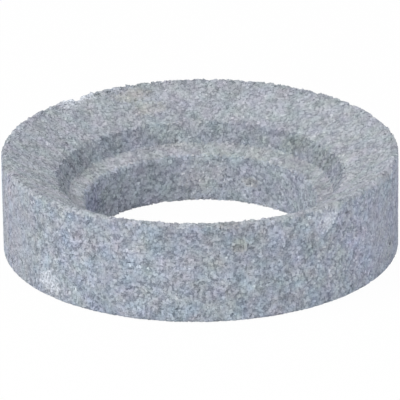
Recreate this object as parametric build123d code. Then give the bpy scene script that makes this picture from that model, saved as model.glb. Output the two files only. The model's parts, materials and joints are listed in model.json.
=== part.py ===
from build123d import *
from math import radians, sin
import os

# Grinding wheel, pressed and fired in one piece from coarse abrasive grain and a glassy bond.
# One face is flat. The other is dished: it falls from the rim to a recess round a wide bore.
# Millimetres, +Z up along the bore. The flat back face lies on Z = 0, with the bore on the Z axis.

# Ring
outer_diameter = 120.0
thickness = 32.0  # flat back to the sharp edge that the rim has before it is rounded
ring_width = 25.0  # from the bore to the outside, which leaves a bore 70 across

# Dished face, from the rim inwards
dish_depth = 9.2  # fall of the cone from the rim to the edge of the recess
recess_wall_depth = 5.9  # fall of the steep wall from that edge to its foot
recess_wall_run = 3.4  # how far that wall leans inwards on the way down
shoulder_fall = 2.4  # fall of the sloped shoulder from the foot of the wall to the bore
shoulder_width = 4.8  # width of the shoulder, measured across the axis

# Rounded edges and the filleted corner, as radii, and the bevels of the two back edges
rim_round = 1.2
recess_edge_round = 1.4
recess_corner_fillet = 1.2
bore_edge_round = 1.3
back_edge_bevel = 0.9
bore_back_bevel = 0.6

# Chip knocked out of the rim: width along the edge, depth below it, and bearing round the axis
# in degrees, anticlockwise from +X as seen from the dished face
chip_width = 11.0
chip_depth = 0.7
chip_bearing = 130.0

# Worked out from the sizes above
outer_radius = outer_diameter / 2
bore_radius = outer_radius - ring_width
wall_foot_radius = bore_radius + shoulder_width
recess_radius = wall_foot_radius + recess_wall_run
recess_edge_height = thickness - dish_depth
wall_foot_height = recess_edge_height - recess_wall_depth
bore_top_height = wall_foot_height - shoulder_fall

# Corners of the half section, as distance from the axis and height
back_bore_corner = (bore_radius, 0)
back_corner = (outer_radius, 0)
rim_corner = (outer_radius, thickness)
recess_edge = (recess_radius, recess_edge_height)
wall_foot = (wall_foot_radius, wall_foot_height)
bore_edge = (bore_radius, bore_top_height)


def corner_vertex(section, corner):
    """The vertex of the half section that lies at a corner."""
    place = Vector(corner[0], 0, corner[1])
    return section.vertices().sort_by_distance(place)[0]


def half_section():
    """Half section of the ring: edges rounded, inner corner filleted, back edges bevelled."""
    corners = [back_bore_corner, back_corner, rim_corner, recess_edge, wall_foot, bore_edge]
    section = make_face(Plane.XZ * Polyline(*corners, close=True))
    rounds = [
        (rim_corner, rim_round),
        (recess_edge, recess_edge_round),
        (wall_foot, recess_corner_fillet),
        (bore_edge, bore_edge_round),
    ]
    for corner, radius in rounds:
        section = fillet(corner_vertex(section, corner), radius)
    bevels = [
        (back_corner, back_edge_bevel),
        (back_bore_corner, bore_back_bevel),
    ]
    for corner, bevel in bevels:
        section = chamfer(corner_vertex(section, corner), bevel)
    return section


def rim_crest():
    """Middle of the rounded rim in the half section, and the direction in which it faces."""
    down_wall = Vector(0, 0, -1)
    down_dish = Vector(recess_radius - outer_radius, 0, -dish_depth).normalized()
    facing = -(down_wall + down_dish).normalized()
    half_wedge = down_wall.get_angle(down_dish) / 2
    set_back = rim_round / sin(radians(half_wedge)) - rim_round
    return Vector(outer_radius, 0, thickness) - facing * set_back, facing


def rim_chip():
    """What the chip takes away: a large ball that bites into the rim to its width and depth."""
    crest, facing = rim_crest()
    ball_radius = (chip_width ** 2 / 4 + chip_depth ** 2) / (2 * chip_depth)
    ball_centre = crest + facing * (ball_radius - chip_depth)
    return Rot(0, 0, chip_bearing) * Pos(ball_centre) * Sphere(ball_radius)


def abrasive_ring():
    """The whole wheel: its half section turned about the bore, less the chip."""
    return revolve(half_section(), Axis.Z) - rim_chip()


os.makedirs("parts", exist_ok=True)
export_step(abrasive_ring(), "parts/abrasive_ring.step")
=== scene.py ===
import json
import math

import bpy
import numpy as np
from mathutils import Matrix, Vector, noise


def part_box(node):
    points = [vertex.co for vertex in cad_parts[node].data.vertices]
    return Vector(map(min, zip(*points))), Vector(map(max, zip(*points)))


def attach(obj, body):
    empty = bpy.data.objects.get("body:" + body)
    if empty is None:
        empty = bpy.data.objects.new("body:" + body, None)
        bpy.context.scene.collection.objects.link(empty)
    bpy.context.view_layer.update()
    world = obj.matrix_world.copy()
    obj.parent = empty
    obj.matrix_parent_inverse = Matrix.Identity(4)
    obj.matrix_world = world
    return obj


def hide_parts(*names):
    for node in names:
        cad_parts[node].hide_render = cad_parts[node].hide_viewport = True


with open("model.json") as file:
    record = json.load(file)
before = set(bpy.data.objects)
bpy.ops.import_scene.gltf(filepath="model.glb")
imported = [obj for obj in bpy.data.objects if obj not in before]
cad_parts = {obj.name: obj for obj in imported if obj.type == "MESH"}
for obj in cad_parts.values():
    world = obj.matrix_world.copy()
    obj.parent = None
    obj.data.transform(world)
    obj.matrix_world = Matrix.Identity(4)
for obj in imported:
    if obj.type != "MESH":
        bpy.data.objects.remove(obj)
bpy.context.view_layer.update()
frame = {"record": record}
mm = 0.001

# The bond skin: the fired body of the wheel as it shows between the outermost grains. It is one
# ring, pressed in a mould and fired, with a flat back, a plain bore, and a dished front that steps
# down to a recess. Its surface lies a little below the size that the grain tips reach.
_, ring_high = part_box("abrasive_ring")
outer_radius = ring_high.x
rim_height = ring_high.z
bore_mount = next(m for m in frame["record"]["mounts"] if m["name"] == "bore")
bore_radius = bore_mount["dims"]["r_mm"] * mm

dish_depth = 9.2 * mm
recess_wall_depth = 5.9 * mm
recess_wall_run = 3.4 * mm
shoulder_fall = 2.4 * mm
shoulder_width = 4.8 * mm
rim_round = 1.2 * mm
recess_edge_round = 1.4 * mm
foot_fillet = 1.2 * mm
bore_edge_round = 1.3 * mm
back_edge_round = 0.8 * mm
bore_back_round = 0.4 * mm
grain_reach = 0.2 * mm  # from the bond up to the grain tips
skin_step = 0.82 * mm  # side of one face of the skin

foot_radius = bore_radius + shoulder_width
recess_radius = foot_radius + recess_wall_run
dish_slope = math.atan2(dish_depth, outer_radius - recess_radius)
# The sharp edge that the rim had, above the rounded one that is left
sharp_rim = rim_height + rim_round * ((1 + math.sin(dish_slope)) / math.cos(dish_slope) - 1)
recess_edge_height = sharp_rim - dish_depth
foot_height = recess_edge_height - recess_wall_depth
bore_top = foot_height - shoulder_fall

# Corners of the half section, the radius of each, and the surface that runs on from it
CORNERS = [
    ((bore_radius, 0), bore_back_round, "back"),
    ((outer_radius, 0), back_edge_round, "wall"),
    ((outer_radius, sharp_rim), rim_round, "dish"),
    ((recess_radius, recess_edge_height), recess_edge_round, "recess"),
    ((foot_radius, foot_height), foot_fillet, "shoulder"),
    ((bore_radius, bore_top), bore_edge_round, "bore"),
]


def rounded_section():
    """Points round the half section, their outward normals, and the surface after each point."""
    points = []
    normals = []
    surfaces = []
    arcs = []
    corners = [np.array(corner) for corner, _, _ in CORNERS]
    for i, (_, radius, _) in enumerate(CORNERS):
        back = corners[i - 1] - corners[i]
        back /= np.linalg.norm(back)
        on = corners[(i + 1) % len(corners)] - corners[i]
        on /= np.linalg.norm(on)
        half_wedge = math.acos(np.dot(back, on)) / 2
        middle = (back + on) / np.linalg.norm(back + on)
        centre = corners[i] + middle * radius / math.sin(half_wedge)
        reach = radius / math.tan(half_wedge)
        arcs.append((corners[i] + back * reach, corners[i] + on * reach, centre))
    for i, (_, radius, surface) in enumerate(CORNERS):
        start, end, centre = arcs[i]
        first = math.atan2(start[1] - centre[1], start[0] - centre[0])
        turn = math.atan2(end[1] - centre[1], end[0] - centre[0]) - first
        turn = (turn + math.pi) % math.tau - math.pi
        steps = max(2, round(abs(turn) * radius / skin_step))
        for k in range(steps):
            angle = first + turn * k / steps
            spoke = np.array([math.cos(angle), math.sin(angle)])
            points.append(centre + radius * spoke)
            normals.append(spoke * math.copysign(1, turn))
            surfaces.append(surface)
        run = arcs[(i + 1) % len(arcs)][0] - end
        length = np.linalg.norm(run)
        steps = max(2, round(length / skin_step))
        for k in range(steps):
            points.append(end + run * k / steps)
            normals.append(np.array([run[1], -run[0]]) / length)
            surfaces.append(surface)
    return np.array(points), np.array(normals), surfaces


# Where the wheel was knocked: bearing round the axis from +X in degrees, place in the half
# section, the way it faces there, width and depth. The first is the rim's chip and the second a
# notch within it. The others are shallow bruises of the outer wall.
rim_chip_bearing = 130.0
rim_edge = (outer_radius - 0.6 * mm, rim_height - 0.1 * mm)
rim_facing = (0.5, 0.86)
CHIPS = [
    (rim_chip_bearing, rim_edge, rim_facing, 11.0 * mm, 0.8 * mm),
    (129.9, rim_edge, rim_facing, 4.6 * mm, 2.3 * mm),
    (-50.5, (outer_radius - 0.1 * mm, rim_height - 3.2 * mm), (1.0, 0.1), 6.0 * mm, 0.4 * mm),
    (222.0, (outer_radius - 0.2 * mm, 3.6 * mm), (1.0, -0.1), 8.0 * mm, 0.4 * mm),
]


def chipped(place):
    """A point of the skin, pushed in to the bottom of the balls that the chips scooped out."""
    for bearing, (radius, height), facing, width, depth in CHIPS:
        turn = Matrix.Rotation(math.radians(bearing), 3, "Z")
        ball = (width ** 2 / 4 + depth ** 2) / (2 * depth)
        out = turn @ Vector((facing[0], 0, facing[1])).normalized()
        away = place - turn @ Vector((radius, 0, height)) - out * (ball - depth)
        if away.length < ball:
            along = away.dot(out)
            place = place - out * (along + math.sqrt(ball ** 2 - away.length_squared + along ** 2))
    return place


# The relief of the bond: how wide its lumps, swells, pores and crumbs are, and how high or deep.
# A pore opens, and a crumb has broken out, where its noise passes a level.
lump_width = 0.9 * mm
lump_height = 0.12 * mm
swell_width = 6 * mm
swell_height = 0.10 * mm
pore_width = 1.7 * mm
pore_depth = 1.6 * mm
pore_level = 0.3
crumb_width = 1.3 * mm
crumb_depth = 1.9 * mm
crumb_level = -0.05
calm_height = 2.5 * mm  # the relief fades over this height, towards the flat back
calm_share = 0.2  # what is left of it there
rim_wear = 1.2 * mm  # how far down from the top the rim is crumbled
bore_wear = 1.6 * mm  # how far from its corner the back edge of the bore is crumbled
bore_wear_share = 0.7  # how deep that is against the rim
chip_wear = 1.3  # how much more the rim is crumbled at its chip
chip_wear_focus = 8  # the higher, the closer that stays to the chip


def bond_relief(place):
    """Height of the bond at a point: lumps, a slow swell and open pores, and two crumbled edges."""

    def wander(width, shift):
        """Noise about zero, with patches of a width. Each shift gives another pattern."""
        return noise.noise(place / width + Vector(shift))

    lumps = wander(lump_width, (0, 0, 0)) * lump_height
    swell = wander(swell_width, (7, 3, 1)) * swell_height
    pores = max(0.0, wander(pore_width, (31, 17, 5)) - pore_level) * pore_depth
    crumbs = max(0.0, wander(crumb_width, (3, 41, 11)) - crumb_level) * crumb_depth
    calm = min(1.0, place.z / calm_height + calm_share)
    below_rim = (rim_height - place.z) / rim_wear
    from_bore_foot = (math.hypot(place.x, place.y) - bore_radius + place.z) / bore_wear
    from_chip = math.atan2(place.y, place.x) - math.radians(rim_chip_bearing)
    knocked = 1 + chip_wear * max(0.0, math.cos(from_chip)) ** chip_wear_focus
    worn = knocked * max(0.0, 1 - below_rim) + bore_wear_share * max(0.0, 1 - from_bore_foot)
    return (lumps + swell - pores) * calm - crumbs * worn


section, section_normals, section_surfaces = rounded_section()
section = section - section_normals * grain_reach
across = len(section)
around = round(math.tau * outer_radius / skin_step)
skin_points = []
for k in range(around):
    turn = Matrix.Rotation(math.tau * k / around, 3, "Z")
    for (radius, height), (out, up) in zip(section, section_normals):
        place = turn @ Vector((radius, 0, height))
        place += turn @ Vector((out, 0, up)) * bond_relief(place)
        skin_points.append(chipped(place))
skin_faces = []
skin_map = []
for k in range(around):
    this = k * across
    following = (k + 1) % around * across
    for j in range(across):
        on = (j + 1) % across
        skin_faces.append((this + j, following + j, following + on, this + on))
        for dk, dj in ((0, 0), (1, 0), (1, 1), (0, 1)):
            skin_map += [(k + dk) / around, (j + dj) / across]


def mesh_object(name, points, faces):
    """An object in the scene, made of points and faces."""
    mesh = bpy.data.meshes.new(name)
    mesh.from_pydata(points, [], faces)
    made = bpy.data.objects.new(name, mesh)
    bpy.context.scene.collection.objects.link(made)
    return made


class Output:
    """An output of a node. Sums written with it add the Math nodes that work them out."""

    def __init__(self, nodes, socket):
        self.nodes = nodes
        self.socket = socket

    def __add__(self, other):
        return self.nodes.maths("ADD", self, other)

    def __sub__(self, other):
        return self.nodes.maths("SUBTRACT", self, other)

    def __rsub__(self, other):
        return self.nodes.maths("SUBTRACT", other, self)

    def __mul__(self, other):
        return self.nodes.maths("MULTIPLY", self, other)

    def __truediv__(self, other):
        return self.nodes.maths("DIVIDE", self, other)

    def __rtruediv__(self, other):
        return self.nodes.maths("DIVIDE", other, self)

    def __pow__(self, other):
        return self.nodes.maths("POWER", self, other)

    __radd__ = __add__
    __rmul__ = __mul__


class Nodes:
    """A node tree. One method adds any node: its settings first, then its values and links."""

    def __init__(self, tree):
        self.tree = tree

    def add(self, kind, settings=None, inputs=None, output=0):
        node = self.tree.nodes.new(kind)
        for name, value in (settings or {}).items():
            if name == "stops":
                self.set_stops(node.color_ramp, value)
            else:
                setattr(node, name, value)
        for name, value in (inputs or {}).items():
            if isinstance(value, Output):
                self.tree.links.new(value.socket, node.inputs[name])
            else:
                node.inputs[name].default_value = value
        if len(node.outputs) == 0:
            return node
        return Output(self, node.outputs[output])

    def maths(self, operation, *values):
        """A Math node on numbers and outputs."""
        return self.add("ShaderNodeMath", {"operation": operation}, dict(enumerate(values)))

    def another(self, first, output):
        """Another output of the node that an output belongs to."""
        return Output(self, first.socket.node.outputs[output])

    @staticmethod
    def set_stops(ramp, stops):
        while len(ramp.elements) < len(stops):
            ramp.elements.new(0.5)
        for element, (place, colour) in zip(ramp.elements, stops):
            element.position = place
            element.color = (*colour, 1)


def new_material(name):
    """An empty material, and its nodes."""
    made = bpy.data.materials.new(name)
    made.use_nodes = True
    made.node_tree.nodes.clear()
    return made, Nodes(made.node_tree)


def mix(nodes, first, second, share, blend="MIX"):
    """Two colours mixed; the share is of the second, and more than 1 of it counts as 1."""
    return nodes.add(
        "ShaderNodeMix",
        {"data_type": "RGBA", "blend_type": blend, "clamp_factor": True},
        {0: share, 6: first, 7: second},
        2,
    )


def patches(nodes, place, to_the_metre, detail, output=0):
    """Noise over the wheel, about one half, with so many patches to the metre."""
    return nodes.add(
        "ShaderNodeTexNoise",
        {},
        {"Vector": place, "Scale": to_the_metre, "Detail": detail},
        output,
    )


# How light each surface is painted against the others, where the recess is painted darker as
# painted shade, the bore lighter as painted light, and the dish and shoulder lighter; how much pale
# dust lies on it; and how strongly its tint wanders
ZONES = {
    "wall": (0.96, 0.0, 1.0),
    "dish": (1.05, 0.42, 0.42),
    "recess": (0.895, 0.1, 0.5),
    "shoulder": (1.09, 0.6, 0.35),
    "bore": (1.09, 0.1, 0.35),
    "back": (0.97, 0.3, 0.8),
}

# Middles of the surfaces in the half section: distance from the axis and height
wall_middle = (outer_radius, 15.0 * mm)
outer_dish = (outer_radius - 5 * mm, 29.3 * mm)
recess_middle = (41.8 * mm, 20.2 * mm)
shoulder_middle = (37.4 * mm, 15.7 * mm)

# Marks on the wheel: bearing in degrees, distance from the axis, height, half length along the
# wheel, half height, and tilt in degrees. Scuffs are the chalky white of knocked grain. A stain
# also has the colour that it lays over the grains: two are brown stains, three are pale warm
# stains, and the others are painted light and shade or faint lighter and darker patches, as noted
# below. The ends of the wall are painted an evener grey, a painted light that evens out the grains'
# shading where the wall is seen edge-on. The crack is a dark pit, painted dark as painted shade.
SCUFFS = [
    (-51.0, outer_radius, 26.6 * mm, 4.6 * mm, 3.0 * mm, -35),
    (221.4, outer_radius, 5.0 * mm, 6.2 * mm, 4.2 * mm, 8),
    (130.8, outer_radius - 1 * mm, 30.4 * mm, 7.5 * mm, 2.2 * mm, 0),
    (134.4, outer_radius - 1.6 * mm, 30.4 * mm, 4.2 * mm, 2.4 * mm, 0),
    (125.8, outer_radius - 1 * mm, 30.6 * mm, 2.8 * mm, 1.8 * mm, 0),
]
STAINS_AND_PAINTED_LIGHT = [
    # Two brown stains, then pale warm stains on the bore and the dish
    (-79.2, outer_radius, 24.0 * mm, 3.4 * mm, 2.7 * mm, 0, (0.95, 0.905, 0.82)),
    (-81.9, outer_radius, 30.4 * mm, 4.0 * mm, 2.2 * mm, 0, (0.84, 0.82, 0.77)),
    (63.8, bore_radius, 7.4 * mm, 3.2 * mm, 2.2 * mm, 0, (1.16, 1.08, 1.01)),
    (113.0, *outer_dish, 7.0 * mm, 4.0 * mm, 0, (1.05, 1.02, 0.93)),
    (108.0, outer_radius - 10.5 * mm, 26.2 * mm, 6.0 * mm, 4.0 * mm, 0, (1.04, 1.015, 0.94)),
    # Painted shade and painted light on the recess wall: darker at its right and left, lighter at
    # its back
    (24.0, *recess_middle, 8.0 * mm, 5.5 * mm, 0, (0.82, 0.825, 0.79)),
    (46.0, *recess_middle, 7.0 * mm, 5.5 * mm, 0, (0.84, 0.845, 0.80)),
    (98.0, *recess_middle, 11.0 * mm, 5.5 * mm, 0, (1.17, 1.15, 1.11)),
    (158.0, *recess_middle, 9.0 * mm, 5.5 * mm, 0, (0.85, 0.855, 0.86)),
    # The shoulder, darker on the right and lighter on the left
    (8.0, *shoulder_middle, 7.0 * mm, 5.0 * mm, 0, (0.82, 0.83, 0.84)),
    (32.0, *shoulder_middle, 8.0 * mm, 5.0 * mm, 0, (0.83, 0.84, 0.85)),
    (132.0, *shoulder_middle, 6.0 * mm, 5.0 * mm, 0, (1.18, 1.18, 1.17)),
    (168.0, *shoulder_middle, 7.0 * mm, 5.0 * mm, 0, (1.22, 1.22, 1.22)),
    # A pale warm stain with painted light over it, on the back of the bore
    (88.0, bore_radius, 8.0 * mm, 9.0 * mm, 6.5 * mm, 0, (1.18, 1.14, 1.07)),
    # Painted shade, darker and bluer, on the left of the bore
    (166.0, bore_radius, 8.0 * mm, 12.0 * mm, 8.0 * mm, 0, (0.83, 0.84, 0.95)),
    # Painted light on the ends of the wall: bluer on the right, warmer and lighter on the left
    (-12.0, *wall_middle, 14.0 * mm, 20.0 * mm, 0, (1.01, 0.985, 1.04)),
    (-34.0, *wall_middle, 15.0 * mm, 20.0 * mm, 0, (0.99, 0.97, 1.02)),
    (196.0, *wall_middle, 14.0 * mm, 20.0 * mm, 0, (1.05, 1.015, 1.02)),
    # A faint darker patch high on the front of the wall
    (-93.0, outer_radius, 25.0 * mm, 14.0 * mm, 5.0 * mm, 0, (0.89, 0.90, 0.92)),
    # Painted shade, darker and bluer, at the foot of the wall on the front left
    (-117.5, outer_radius, 3.0 * mm, 6.5 * mm, 3.5 * mm, 0, (0.82, 0.84, 0.88)),
    # Two faint darker patches on the dish at the back
    (74.0, *outer_dish, 8.0 * mm, 4.5 * mm, 0, (0.89, 0.89, 0.89)),
    (92.0, *outer_dish, 5.0 * mm, 4.5 * mm, 0, (0.91, 0.91, 0.91)),
]
# Painted light: the ends of the wall, seen edge-on, painted an evener and slightly lighter grey
PAINTED_EVEN_ENDS = [
    (186.0, *wall_middle, 14.0 * mm, 22.0 * mm, 0),
    (206.0, *wall_middle, 12.0 * mm, 20.0 * mm, 0),
    (-8.0, *wall_middle, 14.0 * mm, 22.0 * mm, 0),
    (-27.0, *wall_middle, 12.0 * mm, 20.0 * mm, 0),
]
# The crack, painted as a dark pit: its dark is painted shade
CRACK_SHADES = [(-43.7, outer_radius, 26.8 * mm, 1.9 * mm, 0.55 * mm, -6)]
mark_depth = 3 * mm  # how far a mark reaches in from the surface
mark_edge = 1.15  # how far out a mark starts to show, as a share of its half length and height
mark_core = 0.35  # and how far out it is full


def mark(nodes, place, ragged, spots):
    """How strongly marks show at a place: 0 beside them, 1 inside one, and more where two meet."""
    total = 0
    for bearing, radius, height, half_length, half_height, tilt in spots:
        turn = math.radians(bearing)
        local = nodes.add(
            "ShaderNodeMapping",
            {"vector_type": "TEXTURE"},
            {
                "Vector": place,
                "Location": (radius * math.cos(turn), radius * math.sin(turn), height),
                "Rotation": (0, math.radians(tilt), turn + math.pi / 2),
                "Scale": (half_length, mark_depth, half_height),
            },
        )
        far = nodes.add("ShaderNodeVectorMath", {"operation": "LENGTH"}, {0: local}, "Value")
        total = nodes.add(
            "ShaderNodeMapRange",
            {"interpolation_type": "SMOOTHSTEP"},
            {
                "Value": far + ragged,
                "From Min": mark_edge,
                "From Max": mark_core,
                "To Min": 0.0,
                "To Max": 1.0,
            },
        ) + total
    return total


# What dust and marks lay over the grains, with the painted even grey of the wall's ends and the
# painted shade of the crack, and how much of the grains each hides
dust_grey = (0.40, 0.435, 0.49, 1)
dust_cover = 0.45
dust_warmth = (1.07, 1.0, 0.91, 1)
painted_even_grey = (0.345, 0.371, 0.428, 1)
painted_even_cover = 0.45
chalk_white = (0.70, 0.735, 0.80, 1)
crack_shade_black = (0.06, 0.07, 0.09, 1)
crack_shade_cover = 0.5
# How ragged the edge of a mark is, and that of chalk and of a crack against it
raggedness = 1.4
chalk_raggedness = 1.3
crack_shade_raggedness = 0.3
# Slow clouds of light and dark, more of them where the tint wanders, and the wandering itself
clouds = 0.22
mottled_clouds = 0.35
warm_wander = 0.27
green_wander = 0.12


def worn_and_painted_light_colour(nodes, place, colour):
    """A colour with the dust, the slow mottling and the painted light and shade of its surface, and
    the marks on it, some of them painted light and shade.
    """
    # shade is the surface's painted light and shade, as set in ZONES
    shade = nodes.add("ShaderNodeAttribute", {"attribute_name": "shade"}, output="Fac")
    dust = nodes.add("ShaderNodeAttribute", {"attribute_name": "dust"}, output="Fac")
    mottle = nodes.add("ShaderNodeAttribute", {"attribute_name": "mottle"}, output="Fac")
    cloud = patches(nodes, place, 150.0, detail=3.0)
    shade = shade * (1 + (cloud - 0.5) * (mottle * mottled_clouds + clouds))
    colour = mix(nodes, colour, dust_grey, dust * dust_cover)
    colour = mix(nodes, colour, dust_warmth, dust, "MULTIPLY")
    colour = nodes.add("ShaderNodeVectorMath", {"operation": "SCALE"}, {0: colour, "Scale": shade})

    tint = patches(nodes, place, 190.0, detail=3.0, output="Color")
    red = nodes.add("ShaderNodeSeparateXYZ", {}, {0: tint})
    warm = (red - 0.5) * mottle * warm_wander
    green = (nodes.another(red, 1) - 0.5) * green_wander
    tint = nodes.add(
        "ShaderNodeCombineXYZ", {}, {0: warm - green + 1, 1: green + 1, 2: 1 - warm - green}
    )
    colour = mix(nodes, colour, tint, 1.0, "MULTIPLY")

    ragged = (patches(nodes, place, 800.0, detail=2.0) - 0.5) * raggedness
    # The ends of the wall are painted an evener, slightly lighter grey, a painted light that evens
    # out the grains' shading
    painted_even = mark(nodes, place, ragged, PAINTED_EVEN_ENDS) * painted_even_cover
    colour = mix(nodes, colour, painted_even_grey, painted_even)
    # Stains, and patches of painted light and shade, each laid over the colour
    for *spot, wash in STAINS_AND_PAINTED_LIGHT:
        stain_and_painted_light = mark(nodes, place, ragged, [spot])
        colour = mix(nodes, colour, (*wash, 1), stain_and_painted_light, "MULTIPLY")
    crumbs = nodes.add(
        "ShaderNodeMapRange",
        {},
        {
            "Value": patches(nodes, place, 1300.0, detail=1.0),
            "From Min": 0.42,
            "From Max": 0.68,
            "To Min": 0.25,
            "To Max": 1.0,
        },
    )
    chalk = mark(nodes, place, ragged * chalk_raggedness, SCUFFS) * crumbs
    colour = mix(nodes, colour, chalk_white, chalk)
    # The crack's dark pit is painted shade
    crack_shade = mark(nodes, place, ragged * crack_shade_raggedness, CRACK_SHADES) * crack_shade_cover
    return mix(nodes, colour, crack_shade_black, crack_shade)


bond_skin = mesh_object("bond_skin", skin_points, skin_faces)
bond_skin.data.uv_layers.new(name="OFBake").uv.foreach_set("vector", skin_map)
# Each point of the skin carries its surface's painted light and shade, its dust and its mottle
for i, name in enumerate(("shade", "dust", "mottle")):
    values = [ZONES[surface][i] for surface in section_surfaces] * around
    bond_skin.data.attributes.new(name, "FLOAT", "POINT").data.foreach_set("value", values)
bond, nodes = new_material("fired_bond")
place = nodes.add("ShaderNodeTexCoord", output="Object")
speckle = patches(nodes, place, 900.0, detail=3.0)
# The bond's own darker grey; its darkest tone is bluer, a painted shade of the crevices between the
# grains
bond_and_crevice_shade_colour = nodes.add(
    "ShaderNodeValToRGB",
    {
        "stops": [
            (0.30, (0.2, 0.226, 0.27)),
            (0.52, (0.298, 0.331, 0.386)),
            (0.72, (0.379, 0.416, 0.479)),
        ]
    },
    {"Fac": speckle},
)
bond_bump = nodes.add(
    "ShaderNodeBump", {}, {"Height": speckle, "Strength": 0.5, "Distance": 0.1 * mm}
)
shader = nodes.add(
    "ShaderNodeBsdfPrincipled",
    {},
    {
        "Base Color": worn_and_painted_light_colour(nodes, place, bond_and_crevice_shade_colour),
        "Roughness": 0.9,
        "Normal": bond_bump,
    },
)
nodes.add("ShaderNodeOutputMaterial", {}, {"Surface": shader})
bond_skin.data.materials.append(bond)
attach(bond_skin, "root")
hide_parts("abrasive_ring")

# Wall grains: crushed crystals of abrasive, sieved to one size, that stand out of the bond on the
# outer wall. Each is an angular lump with flat broken faces, held by the glassy bond. Some are
# dark and some pale, which gives the wheel its grey speckle and its rough outline.
grain_pitch = 0.69 * mm
grain_size = 0.93 * mm
smallest_grain = 0.7  # times the size, before its corners are moved
largest_grain = 1.25
corner_shift = 0.17  # how far a corner is moved at most, of the size
lowest_top = 0.75  # where the flat top of a dark grain lies, of the full reach
back_edge_bevel = 0.5 * mm  # worn off the grains along the back edge
tries_per_area = 12e6  # to each square metre, from which the pitch thins them
cell_margin = 0.2  # left round a grain in its cell on the map


def grain_tree():
    """The node group that scatters grains over a skin, and the identifiers of its inputs."""
    tree = bpy.data.node_groups.new("scattered_grains", "GeometryNodeTree")
    nodes = Nodes(tree)
    identifiers = {}
    for name, kind in (
        ("Skin", "NodeSocketGeometry"),
        ("Pitch", "NodeSocketFloat"),
        ("Size", "NodeSocketFloat"),
        ("Reach", "NodeSocketFloat"),
        ("Shade", "NodeSocketFloat"),
        ("Dust", "NodeSocketFloat"),
        ("Mottle", "NodeSocketFloat"),
        ("Outer radius", "NodeSocketFloat"),
        ("Rim height", "NodeSocketFloat"),
        ("Back bevel", "NodeSocketFloat"),
        ("Seed", "NodeSocketInt"),
        ("Finish", "NodeSocketMaterial"),
    ):
        socket = tree.interface.new_socket(name, in_out="INPUT", socket_type=kind)
        identifiers[name] = socket.identifier
    tree.interface.new_socket("Grains", in_out="OUTPUT", socket_type="NodeSocketGeometry")
    first = nodes.add("NodeGroupInput", output="Skin")
    given = {name: nodes.another(first, name) for name in identifiers}

    def scaled(vector, factor):
        return nodes.add(
            "ShaderNodeVectorMath", {"operation": "SCALE"}, {0: vector, "Scale": factor}
        )

    def chance(low, high, step):
        """Random vectors between two values, drawn with a seed of their own."""
        return nodes.add(
            "FunctionNodeRandomValue",
            {"data_type": "FLOAT_VECTOR"},
            {0: (low, low, low), 1: (high, high, high), "Seed": given["Seed"] + step},
        )

    def stored(name, kind):
        """An attribute that was stored further up."""
        return nodes.add("GeometryNodeInputNamedAttribute", {"data_type": kind}, {"Name": name})

    points = nodes.add(
        "GeometryNodeDistributePointsOnFaces",
        {"distribute_method": "POISSON"},
        {
            "Mesh": given["Skin"],
            "Distance Min": given["Pitch"],
            "Density Max": tries_per_area,
            "Seed": given["Seed"],
        },
    )
    for name, value in (
        ("seat", nodes.add("GeometryNodeInputPosition")),
        ("out", nodes.another(points, "Normal")),
    ):
        points = nodes.add(
            "GeometryNodeStoreNamedAttribute",
            {"data_type": "FLOAT_VECTOR", "domain": "POINT"},
            {"Geometry": points, "Name": name, "Value": value},
        )
    count = nodes.add("GeometryNodeAttributeDomainSize", {"component": "POINTCLOUD"}, {0: points})
    grains = nodes.add(
        "GeometryNodeInstanceOnPoints",
        {},
        {
            "Points": points,
            "Instance": nodes.add("GeometryNodeMeshCube", {}, {"Size": (1, 1, 1)}),
            "Rotation": chance(0, math.tau, 11),
            "Scale": scaled(chance(smallest_grain, largest_grain, 23), given["Size"]),
        },
    )
    # Each grain carries its tone, its surface's painted light and shade, dust and mottle, and its
    # cell
    for name, kind, value in (
        ("tone", "FLOAT", nodes.add("FunctionNodeRandomValue", {}, {"Seed": given["Seed"] + 37}, 1)),
        ("shade", "FLOAT", given["Shade"]),
        ("dust", "FLOAT", given["Dust"]),
        ("mottle", "FLOAT", given["Mottle"]),
        ("cell", "INT", nodes.add("GeometryNodeInputIndex")),
    ):
        grains = nodes.add(
            "GeometryNodeStoreNamedAttribute",
            {"data_type": kind, "domain": "INSTANCE"},
            {"Geometry": grains, "Name": name, "Value": value},
        )
    grains = nodes.add("GeometryNodeRealizeInstances", {}, {"Geometry": grains})
    shift = scaled(chance(-corner_shift, corner_shift, 53), given["Size"])
    grains = nodes.add("GeometryNodeSetPosition", {}, {"Geometry": grains, "Offset": shift})

    # Pressing and truing leave each grain with a flat top, a little lower on some than on others
    out = stored("out", "FLOAT_VECTOR")
    rise = nodes.add(
        "ShaderNodeVectorMath",
        {"operation": "SUBTRACT"},
        {0: nodes.add("GeometryNodeInputPosition"), 1: stored("seat", "FLOAT_VECTOR")},
    )
    rise = nodes.add(
        "ShaderNodeVectorMath", {"operation": "DOT_PRODUCT"}, {0: rise, 1: out}, "Value"
    )
    top = given["Reach"] * (stored("tone", "FLOAT") * (1 - lowest_top) + lowest_top)
    over = nodes.maths("MAXIMUM", rise - top, 0.0)
    press = scaled(out, 0 - over)
    grains = nodes.add("GeometryNodeSetPosition", {}, {"Geometry": grains, "Offset": press})

    # No tip stands out past the wheel's own size: the wall is turned true and the back lies flat
    x = nodes.add("ShaderNodeSeparateXYZ", {}, {0: nodes.add("GeometryNodeInputPosition")})
    y = nodes.another(x, 1)
    z = nodes.another(x, 2)
    bevelled = nodes.maths("MAXIMUM", given["Back bevel"] - z, 0.0)
    limit = given["Outer radius"] - bevelled
    draw_in = nodes.maths("MINIMUM", limit / (x * x + y * y) ** 0.5, 1.0)
    level = nodes.maths("MINIMUM", nodes.maths("MAXIMUM", z, 0.0), given["Rim height"])
    inside = nodes.add("ShaderNodeCombineXYZ", {}, {0: x * draw_in, 1: y * draw_in, 2: level})
    grains = nodes.add("GeometryNodeSetPosition", {}, {"Geometry": grains, "Position": inside})

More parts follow.
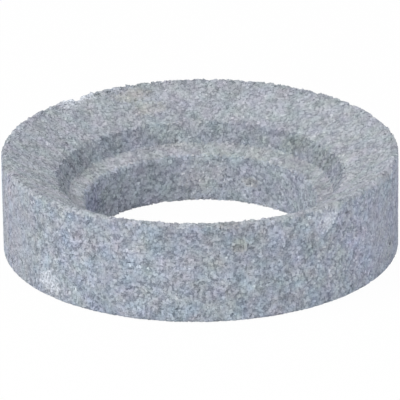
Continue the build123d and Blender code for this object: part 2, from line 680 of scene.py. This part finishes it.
    # Each grain has a cell of its own on the map, the same for its six faces. Corners 1 and 2 of a
    # face lie at the right of the cell, and corners 2 and 3 at the top.
    rows = nodes.maths("CEIL", count ** 0.5)
    cell = stored("cell", "INT")
    row = nodes.maths("FLOOR", (cell + 0.5) / rows)
    column = cell - row * rows
    corner = nodes.add("GeometryNodeFaceOfCorner", output="Index in Face")
    cell_width = 1 - 2 * cell_margin
    right = nodes.maths("COMPARE", corner, 1.5, 0.6) * cell_width + cell_margin
    up = nodes.maths("COMPARE", corner, 2.5, 0.6) * cell_width + cell_margin
    place = nodes.add("ShaderNodeCombineXYZ", {}, {0: (column + right) / rows, 1: (row + up) / rows})
    grains = nodes.add(
        "GeometryNodeStoreNamedAttribute",
        {"data_type": "FLOAT2", "domain": "CORNER"},
        {"Geometry": grains, "Name": "OFBake", "Value": place},
    )
    grains = nodes.add(
        "GeometryNodeSetMaterial", {}, {"Geometry": grains, "Material": given["Finish"]}
    )
    nodes.add("NodeGroupOutput", {}, {"Grains": grains})
    return tree, identifiers


# Colours of the grains from dark to pale, and how far they vary from one grain to the next, in
# patches over many and in flecks on each
GRAIN_TONES = [
    (0.00, (0.167, 0.19, 0.23)),
    (0.20, (0.248, 0.278, 0.327)),
    (0.45, (0.33, 0.365, 0.423)),
    (0.80, (0.394, 0.433, 0.496)),
    (1.00, (0.465, 0.507, 0.577)),
]
tone_range = 0.85
patch_range = 0.5
fleck_range = 1.5
grain_roughness = 0.95
pale_polish = 0.15  # how much less rough the palest grain is
# Painted glints: flecks above a level, on grains above a tone, are painted near white as a painted
# highlight
painted_glint_tone = 0.985
painted_glint_level = 0.52
painted_glint_white = (0.65, 0.69, 0.75, 1)
painted_glint_cover = 0.75


def grain_material():
    """Grains of many greys, a few of them with a painted glint, under the dust, marks and painted
    light and shade of the wheel.
    """
    made, nodes = new_material("abrasive_grain")
    tone = nodes.add("ShaderNodeAttribute", {"attribute_name": "tone"}, output="Fac")
    place = nodes.add("ShaderNodeTexCoord", output="Object")
    patch = (patches(nodes, place, 300.0, detail=3.0) - 0.5) * patch_range
    flecks = patches(nodes, place, 3000.0, detail=1.0)
    varied = (tone - 0.5) * tone_range + 0.5 + patch + (flecks - 0.5) * fleck_range
    colour = nodes.add("ShaderNodeValToRGB", {"stops": GRAIN_TONES}, {"Fac": varied})
    # A painted highlight: bright flecks on the palest few grains
    bright_grain = nodes.maths("GREATER_THAN", tone, painted_glint_tone)
    painted_glint = bright_grain * nodes.maths("GREATER_THAN", flecks, painted_glint_level)
    colour = mix(nodes, colour, painted_glint_white, painted_glint * painted_glint_cover)
    shader = nodes.add(
        "ShaderNodeBsdfPrincipled",
        {},
        {
            "Base Color": worn_and_painted_light_colour(nodes, place, colour),
            "Roughness": grain_roughness - tone * pale_polish,
        },
    )
    nodes.add("ShaderNodeOutputMaterial", {}, {"Surface": shader})
    return made


def grains_over(surface, seed):
    """A piece of grains scattered over one surface of the skin."""
    columns = [j for j in range(across) if section_surfaces[j] == surface]
    faces = [skin_faces[k * across + j] for k in range(around) for j in columns]
    used = sorted({i for face in faces for i in face})
    number = {old: new for new, old in enumerate(used)}
    points = [skin_points[i] for i in used]
    patch = mesh_object("patch", points, [[number[i] for i in face] for face in faces])
    modifier = patch.modifiers.new("grains", "NODES")
    modifier.node_group = scattered_grains
    shade, dust, mottle = ZONES[surface]
    values = {
        "Pitch": grain_pitch,
        "Size": grain_size,
        "Reach": grain_reach,
        "Shade": shade,
        "Dust": dust,
        "Mottle": mottle,
        "Outer radius": outer_radius,
        "Rim height": rim_height,
        "Back bevel": back_edge_bevel,
        "Seed": seed,
        "Finish": abrasive_grain,
    }
    for name, value in values.items():
        modifier[grain_inputs[name]] = value
    shown = patch.evaluated_get(bpy.context.evaluated_depsgraph_get())
    mesh = bpy.data.meshes.new_from_object(shown)
    bpy.data.objects.remove(patch)
    made = bpy.data.objects.new(surface + "_grains", mesh)
    bpy.context.scene.collection.objects.link(made)
    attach(made, "root")


scattered_grains, grain_inputs = grain_tree()
abrasive_grain = grain_material()
grains_over("wall", 1)

# Dish grains: the same grains on the dished face, from the rim to the edge of the recess. Pale
# dust from dressing and grinding lies on them and evens out their tones.
grains_over("dish", 2)

# Recess grains: the same grains, bonded and fired with the rest, on the steep wall of the recess,
# where little dust stays. Their colour is painted darker, a painted shade.
grains_over("recess", 3)

# Shoulder grains: the same grains on the sloped shoulder that the flange clears. It is the
# smoothest face, rubbed and dusty.
grains_over("shoulder", 4)

# Bore grains: the same grains round the bore, as the pin of the mould left them. They follow the
# bond where its back edge has crumbled. Their colour is painted lighter, a painted light.
grains_over("bore", 5)

# Back grains: the same grains on the flat back, which the mould pressed level. They are drawn
# level with the table that the wheel lies on.
grains_over("back", 6)

# The table: a white sheet that the wheel lies on, seen evenly white, with the wheel's soft shadow
# left on it.
floor_half = 3.0
floor_white = (0.85, 0.85, 0.85, 1)
floor_glow = 0.97  # share of plain white that the camera sees in it


def shown_plainly(nodes):
    """1 where the camera, a reflection or glass shows a thing, and 0 where it lights the wheel."""
    ray = nodes.add("ShaderNodeLightPath", output="Is Camera Ray")
    total = ray + nodes.another(ray, "Is Glossy Ray") + nodes.another(ray, "Is Transmission Ray")
    return nodes.maths("MINIMUM", total, 1.0)


floor = mesh_object(
    "floor",
    [
        (-floor_half, -floor_half, 0),
        (floor_half, -floor_half, 0),
        (floor_half, floor_half, 0),
        (-floor_half, floor_half, 0),
    ],
    [(0, 1, 2, 3)],
)
paper, nodes = new_material("white_table")
diffuse = nodes.add("ShaderNodeBsdfDiffuse", {}, {"Color": floor_white})
glow = nodes.add("ShaderNodeEmission", {}, {"Color": (1, 1, 1, 1), "Strength": 1.0})
glow_share = shown_plainly(nodes) * floor_glow
mixed = nodes.add("ShaderNodeMixShader", {}, {"Fac": glow_share, 1: diffuse, 2: glow})
nodes.add("ShaderNodeOutputMaterial", {}, {"Surface": mixed})
floor.data.materials.append(paper)

# The light: an even white room and four broad soft lamps, the strongest of them high on the left
# in front. The two on the left are a little warm, and the others a little cool.
room_light = 0.616  # strength of the room on the wheel; the room itself is seen at 1
world = bpy.data.worlds.new("room")
bpy.context.scene.world = world
world.use_nodes = True
world.node_tree.nodes.clear()
nodes = Nodes(world.node_tree)
strength = shown_plainly(nodes) * (1 - room_light) + room_light
room = nodes.add("ShaderNodeBackground", {}, {"Color": (1, 1, 1, 1), "Strength": strength})
nodes.add("ShaderNodeOutputWorld", {}, {"Surface": room})


def aim(thing, target):
    """Turns a lamp or camera at its place so that it looks at a point."""
    thing.rotation_euler = (Vector(target) - thing.location).to_track_quat("-Z", "Y").to_euler()


# Place, side, power and colour of each lamp
warm_white = (1.0, 0.988, 0.968)
LAMPS = {
    "left_lamp": ((-0.85, -0.45, 1.0), 0.8, 9.8, warm_white),
    "low_left_lamp": ((-1.3, -0.3, 0.22), 0.4, 1.2, warm_white),
    "right_lamp": ((1.3, -0.3, 0.22), 0.4, 3.0, (0.94, 0.958, 1.0)),
    "front_lamp": ((0.0, -1.25, 0.5), 0.8, 4.2, (0.98, 0.992, 1.0)),
}
for name, (place, side, power, colour) in LAMPS.items():
    lamp = bpy.data.lights.new(name, "AREA")
    lamp.shape = "SQUARE"
    lamp.size = side
    lamp.energy = power
    lamp.color = colour
    lamp_object = bpy.data.objects.new(name, lamp)
    lamp_object.location = place
    aim(lamp_object, (0, 0, 0))
    bpy.context.scene.collection.objects.link(lamp_object)

# The camera, at the photograph's angle: a long lens from 1.44 m, 22 degrees above the table and
# rolled by less than a degree, as the photograph is.
camera_distance = 1440 * mm
camera_elevation = math.radians(22.288)
camera_roll = math.radians(-0.734)
camera_target = Vector((-0.115 * mm, 0, 14.341 * mm))
camera = bpy.data.cameras.new("camera")
camera.sensor_width = 36.0
camera.lens = 427.23
camera_object = bpy.data.objects.new("camera", camera)
camera_object.location = camera_target + camera_distance * Vector(
    (0, -math.cos(camera_elevation), math.sin(camera_elevation))
)
aim(camera_object, camera_target)
camera_object.rotation_euler.rotate_axis("Z", camera_roll)
bpy.context.scene.collection.objects.link(camera_object)
bpy.context.scene.camera = camera_object
bpy.context.scene.view_settings.view_transform = "Standard"
